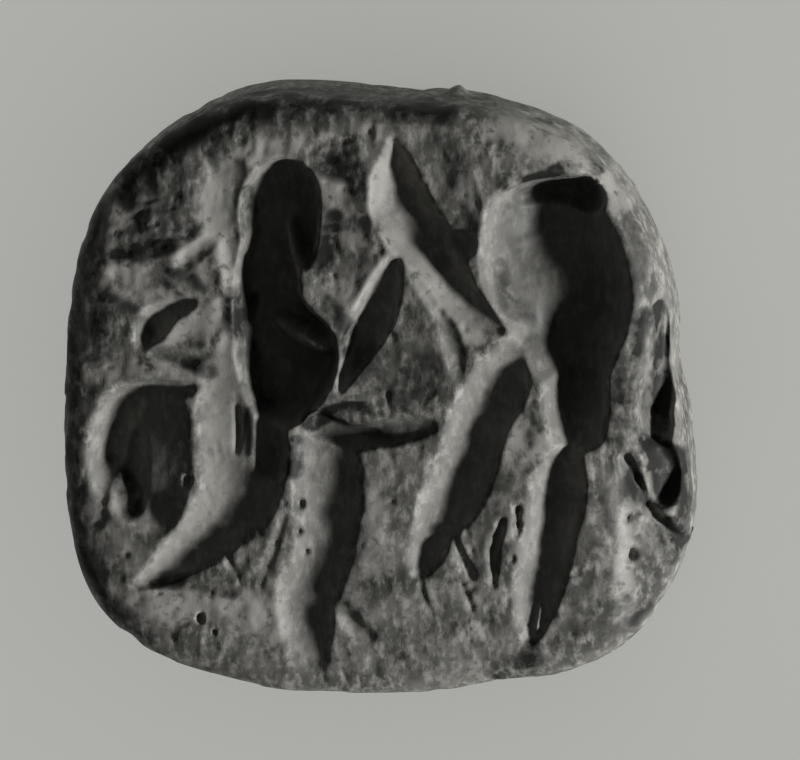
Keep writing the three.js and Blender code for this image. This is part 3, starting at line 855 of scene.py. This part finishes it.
# %% Rings of the back
BACK_RINGS = 44
HALVE_AT = (1, 16, 30)
PATCHES_END_RING = 20
upper_loop = GIRDLE
loop_bearing = bearing.reshape(-1)[upper_loop]
loop_patches = np.stack([PALE_WEAR_AND_PAINTED_LIGHT.reshape(-1)[upper_loop], STAINS_AND_PAINTED_SHADE.reshape(-1)[upper_loop]])
patches_below = []
back_shares = even_shares(FLAT_SPOT_SHARE, 1.0, back_height, BACK_RINGS)[::-1]
total = GRID_SIZE**2
for number, out in enumerate(back_shares[1:], start=1):
    halved = number in HALVE_AT
    if halved:
        loop_bearing = loop_bearing[::2]
        loop_patches = loop_patches[:, ::2]
    patches_below.append(loop_patches * max(0.0, 1 - number / PATCHES_END_RING))
    reach = out * reach_at(loop_bearing)
    height = np.full_like(reach, back_height(out))
    points.append(np.stack([reach * np.cos(loop_bearing), reach * np.sin(loop_bearing), height], axis=-1))
    lower_loop = total + np.arange(len(loop_bearing))
    total += len(loop_bearing)
    here, after = lower_loop, np.roll(lower_loop, -1)
    if halved:
        start, middle, end = upper_loop[::2], upper_loop[1::2], np.roll(upper_loop[::2], -1)
        faces += np.stack([start, here, middle], axis=-1).tolist()
        faces += np.stack([middle, here, after], axis=-1).tolist()
        faces += np.stack([middle, after, end], axis=-1).tolist()
    else:
        faces += np.stack([upper_loop, here, after, np.roll(upper_loop, -1)], axis=-1).tolist()
    upper_loop = lower_loop
print(f"{len(patches_below)} rings below the girdle, the last with {len(upper_loop)} points")

# %% Close the flat spot
points.append(np.zeros((1, 3)))
patches_below.append(np.zeros((2, 1)))
wear_and_light_below, stain_and_shade_below = np.concatenate(patches_below, axis=1)
faces += np.stack([np.full_like(upper_loop, total), np.roll(upper_loop, -1), upper_loop], axis=-1).tolist()
points = np.concatenate(points)
triangles = sum(len(face) - 2 for face in faces)
print(f"{len(points)} points, {triangles} triangles")

# %% [markdown]
# ## The worn side
#
# The girdle was ground by hand and has been knocked: it is uneven, has shallow dents, and one small
# knob is left on the upper side. Changing the outline formula would draw each of these as a crease from
# top to bottom, so instead the finished points are moved in or out along their bearing.

# %% Wear the girdle and leave a knob on it
RUB_DEPTH = 0.06
RUB_CELL = (0.5, 0.4)
RUB_LEAST = -0.2
DENT_DEPTH = 0.1
DENT_CELL = (0.9, 0.7)
DENTS_ABOVE = 0.35
INSET = 0.012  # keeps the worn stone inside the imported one
SIDE_WIDTH = 0.1  # the outer tenth of the way out is worn
KNOB_PLACE = (12.06, 4.7)  # along the girdle from the right, and up from the floor
KNOB_HALF = (0.3, 0.35)
KNOB_OUT = 0.37
around = np.arctan2(points[:, 1], points[:, 0]) * USUAL_REACH
share_out = np.hypot(points[:, 0], points[:, 1]) / reach_at(around / USUAL_REACH)
on_side = np.clip((share_out - 1) / SIDE_WIDTH + 1, 0.0, 1.0)
worn = RUB_DEPTH * np.maximum(lattice_noise(around, points[:, 2], *RUB_CELL, 11), RUB_LEAST) + INSET
worn = worn + DENT_DEPTH * np.maximum(lattice_noise(around, points[:, 2], *DENT_CELL, 12) - DENTS_ABOVE, 0.0)
off_along = (around - KNOB_PLACE[0]) / KNOB_HALF[0]
off_up = (points[:, 2] - KNOB_PLACE[1]) / KNOB_HALF[1]
knob = KNOB_OUT * np.exp(-(off_along**2) - off_up**2)
points[:, :2] *= 1 + ((knob - worn * on_side) / USUAL_REACH)[:, None]
points[:, :2] -= OUTLINE_MIDDLE
print(f"the side is worn by up to {worn.max():.2f} mm, and the knob stands out by {knob.max():.2f} mm")

# %% Make the stone's object
mesh = bpy.data.meshes.new("worn_stone_seal")
mesh.from_pydata((points * MM).tolist(), [], faces)
mesh.validate()
stone = bpy.data.objects.new("worn_stone_seal", mesh)
bpy.context.scene.collection.objects.link(stone)
no_cuts = np.zeros_like(wear_and_light_below)
# The pale patches hold wear and painted highlights, the dark patches stains and painted shade, and the cut
# depth drives the paler cuts and painted shade of the finish.
for name, over_face, below in (
    ("cut", DEEP, no_cuts),
    ("wear_and_painted_light", PALE_WEAR_AND_PAINTED_LIGHT, wear_and_light_below),
    ("stain_and_painted_shade", STAINS_AND_PAINTED_SHADE, stain_and_shade_below),
):
    attribute = mesh.attributes.new(name, "FLOAT", "POINT")
    attribute.data.foreach_set("value", np.concatenate([over_face.reshape(-1), below]))
mesh.shade_smooth()
print(stone.name, "carries the attributes", [attribute.name for attribute in mesh.attributes])

# %% [markdown]
# ## The string hole
#
# The hole was bored from both sides with a thin drill, so it narrows towards the middle, and the string
# has worn its mouths a little wider. A boolean cuts it, because the hole has to leave a clean edge in a
# curved flank.

# %% Shape of the bore
HOLE_HEIGHT = 3.1
HOLE_MIDDLE_RADIUS = 0.95
HOLE_MOUTH_RADIUS = 1.15
HOLE_HALF_LENGTH = 11.0
HOLE_STEPS = 60
HOLE_SIDES = 48
DRILL_RIDGE = 0.02
DRILL_RIDGE_PACE = 9.0  # radians of the ridges' wave in each millimetre


def make_bore():
    """A closed round bar, thinner in the middle, with slight ridges from the drill, to be cut away."""
    along = np.linspace(-HOLE_HALF_LENGTH, HOLE_HALF_LENGTH, HOLE_STEPS + 1)
    out = abs(along) / HOLE_HALF_LENGTH
    width = HOLE_MIDDLE_RADIUS + (HOLE_MOUTH_RADIUS - HOLE_MIDDLE_RADIUS) * out
    width = width + DRILL_RIDGE * np.sin(along * DRILL_RIDGE_PACE)
    turn = np.linspace(0, 2 * math.pi, HOLE_SIDES, endpoint=False)
    corners = [
        (x, w * math.cos(a), HOLE_HEIGHT + w * math.sin(a)) for x, w in zip(along, width) for a in turn
    ]
    sides = []
    for i in range(HOLE_STEPS):
        for j in range(HOLE_SIDES):
            k = (j + 1) % HOLE_SIDES
            low, high = i * HOLE_SIDES, (i + 1) * HOLE_SIDES
            sides.append((low + j, low + k, high + k, high + j))
    sides.append(tuple(reversed(range(HOLE_SIDES))))
    sides.append(tuple(range(HOLE_STEPS * HOLE_SIDES, (HOLE_STEPS + 1) * HOLE_SIDES)))
    made = bpy.data.meshes.new("bore")
    made.from_pydata((np.array(corners) * MM).tolist(), [], sides)
    return bpy.data.objects.new("bore", made)


bore = make_bore()
print(f"the bore has {len(bore.data.vertices)} points and runs {HOLE_HEIGHT} mm above the floor")

# %% Bore the stone
bpy.context.scene.collection.objects.link(bore)
boring = stone.modifiers.new("string hole", "BOOLEAN")
boring.operation = "DIFFERENCE"
boring.solver = "MANIFOLD"
boring.object = bore
bpy.context.view_layer.update()
bored = bpy.data.meshes.new_from_object(stone.evaluated_get(bpy.context.evaluated_depsgraph_get()))
stone.modifiers.clear()
stone.data = bored
bpy.data.objects.remove(bore)
print(f"{len(bored.vertices)} points after the hole is bored")

# %% [markdown]
# ## The stone's finish
#
# A dark, fine-grained stone: mottled at several scales, with thin upright streaks, paler where it is worn
# and where painted highlights lie on walls turned to the lamp, paler in the cuts, where the ground stone
# is partly a painted highlight, and darker where stains and painted shade lie in the cuts and on edges
# turned from the lamp. An image wrapped round the stone would stretch on the side. Every part of this
# finish is a noise measured in millimetres inside the stone instead, so it fits from every side.


# %% Helpers: a material and its nodes
def make_material(name):
    """A new material with an empty node tree."""
    material = bpy.data.materials.new(name)
    material.use_nodes = True
    tree = material.node_tree
    tree.nodes.clear()
    return material, tree


def add(tree, kind, inputs=None, **settings):
    """Adds a node, sets its values and links its inputs."""
    node = tree.nodes.new(kind)
    for key, value in settings.items():
        setattr(node, key, value)
    for key, value in (inputs or {}).items():
        if isinstance(value, bpy.types.NodeSocket):
            tree.links.new(value, node.inputs[key])
        else:
            node.inputs[key].default_value = value
    return node


print("helpers:", make_material.__name__, add.__name__)


# %% Helpers: noise in millimetres
def millimetres(tree, stretch=(1, 1, 1)):
    """Coordinates on the object, in millimetres, stretched along each axis."""
    where = add(tree, "ShaderNodeTexCoord")
    scale = tuple(s / MM for s in stretch)
    return add(tree, "ShaderNodeMapping", {"Vector": where.outputs["Object"], "Scale": scale}).outputs[0]


def noise(tree, per_mm, detail, stretch=(1, 1, 1), roughness=0.5):
    """Noise between 0 and 1, with about per_mm features in a millimetre."""
    where = millimetres(tree, stretch)
    inputs = {"Vector": where, "Scale": per_mm, "Detail": detail, "Roughness": roughness}
    return add(tree, "ShaderNodeTexNoise", inputs).outputs["Fac"]


print(f"textures are {1 / MM:.0f} times as fine as Blender's metres")


# %% Helpers: sums and blends
def remap(tree, value, low, high, to_low=0.0, to_high=1.0):
    """Stretches the values between low and high over to_low to to_high, and holds them there outside."""
    inputs = {"Value": value, "From Min": low, "From Max": high, "To Min": to_low, "To Max": to_high}
    return add(tree, "ShaderNodeMapRange", inputs).outputs["Result"]


def math_node(tree, operation, a, b):
    """One sum of two values."""
    return add(tree, "ShaderNodeMath", {0: a, 1: b}, operation=operation).outputs[0]


def mix_color(tree, share, a, b):
    """Blends from colour a to colour b. The node takes colours in sockets 6 and 7, and gives one in 2."""
    return add(tree, "ShaderNodeMix", {0: share, 6: a, 7: b}, data_type="RGBA").outputs[2]


def attribute(tree, name):
    """A value kept with the mesh's points."""
    return add(tree, "ShaderNodeAttribute", attribute_name=name).outputs["Fac"]


print("helpers:", remap.__name__, math_node.__name__, mix_color.__name__, attribute.__name__)


# %% Colours and scales of the worn stone
DARK_STONE = (0.075, 0.074, 0.066, 1)
MIDDLE_STONE = (0.21, 0.206, 0.187, 1)
PALE_STONE = (0.38, 0.373, 0.342, 1)
# Paler stone for the cuts: partly ground stone, partly a painted highlight so that the lit walls of the cuts
# read bright.
GROUND_STONE_AND_PAINTED_LIGHT = (0.25, 0.246, 0.225, 1)
# Near black, for the dark patches and the deep cuts: stains and painted shade.
DIRT_AND_PAINTED_SHADE = (0.018, 0.0175, 0.016, 1)
PATCHES_PER_MM = 0.9
STREAKS_PER_MM = 1.0
STREAK_STRETCH = (4.0, 2.0, 2.5)  # thin across the face, long up it
GRAINS_PER_MM = 3.6
GRAINS_IN_RELIEF = 0.8
RELIEF = 0.04 * MM
RELIEF_STRENGTH = 0.3
GLOSS = 0.25
print(f"patches are about {1 / PATCHES_PER_MM:.1f} mm wide and grains {1 / GRAINS_PER_MM:.2f} mm")


# %% Worn stone
def stone_color(tree, patches, streaks, grains):
    """Mottled and streaked, paled by wear and painted highlights, paler in the cuts with a painted highlight
    for their lit walls, darkened by stains and painted shade, and painted darker where the cuts are deep.
    """
    tone = mix_color(tree, remap(tree, patches, 0.38, 0.6), DARK_STONE, MIDDLE_STONE)
    tone = mix_color(tree, remap(tree, streaks, 0.45, 0.68), tone, PALE_STONE)
    tone = mix_color(tree, remap(tree, grains, 0.52, 0.66, 0.0, 0.65), tone, DARK_STONE)
    # Pale wear and painted highlights from the named pale patches.
    broken = remap(tree, grains, 0.3, 0.46)
    pale = math_node(tree, "MULTIPLY", attribute(tree, "wear_and_painted_light"), broken)
    tone = mix_color(tree, pale, tone, PALE_STONE)
    # The cuts are painted paler: partly ground stone, partly a painted highlight for their lit walls.
    ground = remap(tree, attribute(tree, "cut"), 0.04, 0.2, 0.0, 0.55)
    tone = mix_color(tree, ground, tone, GROUND_STONE_AND_PAINTED_LIGHT)
    # Stains and painted shade from the named dark patches.
    stain_and_shade = math_node(tree, "MULTIPLY", attribute(tree, "stain_and_painted_shade"), remap(tree, patches, 0.35, 0.55))
    tone = mix_color(tree, stain_and_shade, tone, DIRT_AND_PAINTED_SHADE)
    # Painted shade: the deeper a cut, the darker it is painted.
    return mix_color(tree, remap(tree, attribute(tree, "cut"), 0.4, 1.1, 0.0, 0.5), tone, DIRT_AND_PAINTED_SHADE)


def make_stone_material():
    """The worn stone: its colour, a fine relief and an uneven, low gloss."""
    material, tree = make_material("worn_stone")
    patches = noise(tree, PATCHES_PER_MM, 4, roughness=0.6)
    streaks = noise(tree, STREAKS_PER_MM, 3, stretch=STREAK_STRETCH, roughness=0.6)
    grains = noise(tree, GRAINS_PER_MM, 3, roughness=0.5)
    height = math_node(tree, "ADD", streaks, math_node(tree, "MULTIPLY", grains, GRAINS_IN_RELIEF))
    relief = {"Height": height, "Strength": RELIEF_STRENGTH, "Distance": RELIEF}
    finish = {
        "Base Color": stone_color(tree, patches, streaks, grains),
        "Roughness": remap(tree, patches, 0.3, 0.7, 0.5, 0.66),
        "Normal": add(tree, "ShaderNodeBump", relief).outputs["Normal"],
        "Specular IOR Level": GLOSS,
    }
    surface = add(tree, "ShaderNodeBsdfPrincipled", finish).outputs["BSDF"]
    add(tree, "ShaderNodeOutputMaterial", {"Surface": surface})
    print(f"{material.name}: {len(tree.nodes)} nodes")
    return material


stone.data.materials.clear()
stone.data.materials.append(make_stone_material())

# %% Hand the stone to the frame
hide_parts(NODE)
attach(stone, "root")
print(f"{stone.name} stands in for {NODE}")

# %% [markdown]
# ## The floor
#
# A small find is shown on plain pale card. A plane much wider than the stone does it, because then its
# edge is never in the picture, and it has no gloss, so that nothing draws the eye from the stone.

# %% Floor
FLOOR_HALF = 0.6
PALE_CARD = (0.78, 0.785, 0.75, 1)
CARD_ROUGHNESS = 0.95


def make_floor():
    """A wide square of pale card on the ground."""
    corners = [(x * FLOOR_HALF, y * FLOOR_HALF, 0) for x, y in ((-1, -1), (1, -1), (1, 1), (-1, 1))]
    mesh = bpy.data.meshes.new("floor")
    mesh.from_pydata(corners, [], [(0, 1, 2, 3)])
    made = bpy.data.objects.new("floor", mesh)
    bpy.context.scene.collection.objects.link(made)
    material, tree = make_material("pale_card")
    card = {"Base Color": PALE_CARD, "Roughness": CARD_ROUGHNESS}
    surface = add(tree, "ShaderNodeBsdfPrincipled", card).outputs["BSDF"]
    add(tree, "ShaderNodeOutputMaterial", {"Surface": surface})
    mesh.materials.append(material)
    return made


floor = make_floor()
print(f"the floor is {2 * FLOOR_HALF} m wide")

# %% [markdown]
# ## The light
#
# One small round lamp, low on the right, rakes across the cuts, and a weak glow comes from all round.
# Raking light is how small engraving is always shown: each furrow has one bright wall and one dark
# wall. A big soft lamp would fill the furrows. The lamp lights only the stone, so that no long shadow
# lies on the floor, and a soft lamp of its own lights the floor.

# %% Helpers for the light
KEY_BEARING = -12
KEY_RISE = 20
KEY_DISTANCE = 0.3
KEY_SIZE = 0.042
KEY_POWER = 1.2


def direction(bearing_deg, rise_deg):
    """A unit vector towards a bearing from +X, at an angle above the floor."""
    bearing_rad, rise = math.radians(bearing_deg), math.radians(rise_deg)
    return Vector(
        (math.cos(bearing_rad) * math.cos(rise), math.sin(bearing_rad) * math.cos(rise), math.sin(rise))
    )


def only_for(light, *objects):
    """Lets a lamp light only the given objects."""
    group = bpy.data.collections.new(light.name + "_receivers")
    for thing in objects:
        group.objects.link(thing)
    light.light_linking.receiver_collection = group


print("the lamp stands towards", np.round(direction(KEY_BEARING, KEY_RISE), 2))

# %% Lamp for the stone
centre = Vector((0, 0, HEIGHT * MM / 2))
key_data = bpy.data.lights.new("key_lamp", "AREA")
key_data.shape = "DISK"
key_data.size = KEY_SIZE
key_data.energy = KEY_POWER
key = bpy.data.objects.new("key_lamp", key_data)
bpy.context.scene.collection.objects.link(key)
key.location = centre + direction(KEY_BEARING, KEY_RISE) * KEY_DISTANCE
key.rotation_euler = (key.location - centre).to_track_quat("Z", "Y").to_euler()
only_for(key, stone)
print(f"{key.name}: {KEY_POWER} W, {KEY_SIZE / KEY_DISTANCE:.2f} of its distance wide")

# %% Lamp for the floor
FLOOR_LAMP_STRENGTH = 1.6
FLOOR_LAMP_SPREAD = 120
floor_data = bpy.data.lights.new("floor_lamp", "SUN")
floor_data.energy = FLOOR_LAMP_STRENGTH
floor_data.angle = math.radians(FLOOR_LAMP_SPREAD)
floor_lamp = bpy.data.objects.new("floor_lamp", floor_data)
bpy.context.scene.collection.objects.link(floor_lamp)
only_for(floor_lamp, floor)
only_floor = bpy.data.collections.new("floor_alone")
only_floor.objects.link(floor)
floor_lamp.light_linking.blocker_collection = only_floor
print(f"{floor_lamp.name}: spread over {FLOOR_LAMP_SPREAD} degrees")

# %% Glow from all round
GLOW = 0.042
world = bpy.data.worlds.new("studio")
bpy.context.scene.world = world
world.use_nodes = True
background = world.node_tree.nodes["Background"]
background.inputs["Color"].default_value = (1, 1, 1, 1)
background.inputs["Strength"].default_value = GLOW
bpy.context.scene.view_settings.view_transform = "Standard"
print(f"{world.name}: {GLOW} from all round")

# %% [markdown]
# ## The camera
#
# The stone is seen nearly straight from above, leaning a little up and to the right, from far enough
# away that the sides stay small. A long lens does that. Its length follows from the distance and from
# how much of the scene the picture takes in, so the stone keeps its size in the picture when the camera
# is moved back.

# %% Camera
CAMERA_TILT_UP = 9.5
CAMERA_TILT_RIGHT = 7.0
CAMERA_DISTANCE = 0.4
SENSOR = 36.0
FRAME_WIDTH = 22.7 * MM  # how much of the scene the picture's width takes in
AIM_PLACE = (0.37, 0.14)  # in the outline formula's own millimetres
aim_x, aim_y = np.array(AIM_PLACE) - OUTLINE_MIDDLE
AIM = Vector((aim_x, aim_y, GIRDLE_HEIGHT)) * MM

camera_data = bpy.data.cameras.new("camera")
camera_data.sensor_width = SENSOR
camera_data.lens = SENSOR * CAMERA_DISTANCE / FRAME_WIDTH
camera_data.clip_start = 0.01
camera_data.clip_end = 10
camera = bpy.data.objects.new("camera", camera_data)
bpy.context.scene.collection.objects.link(camera)
lean_right, lean_up = math.radians(CAMERA_TILT_RIGHT), math.radians(CAMERA_TILT_UP)
lean = Vector((math.tan(lean_right), math.tan(lean_up), 1)).normalized()
camera.location = AIM + lean * CAMERA_DISTANCE
across = Vector((0, 1, 0)).cross(lean).normalized()
camera.rotation_euler = Matrix((across, lean.cross(across), lean)).transposed().to_euler()
bpy.context.scene.camera = camera
print(f"the lens is {camera_data.lens:.0f} mm long")
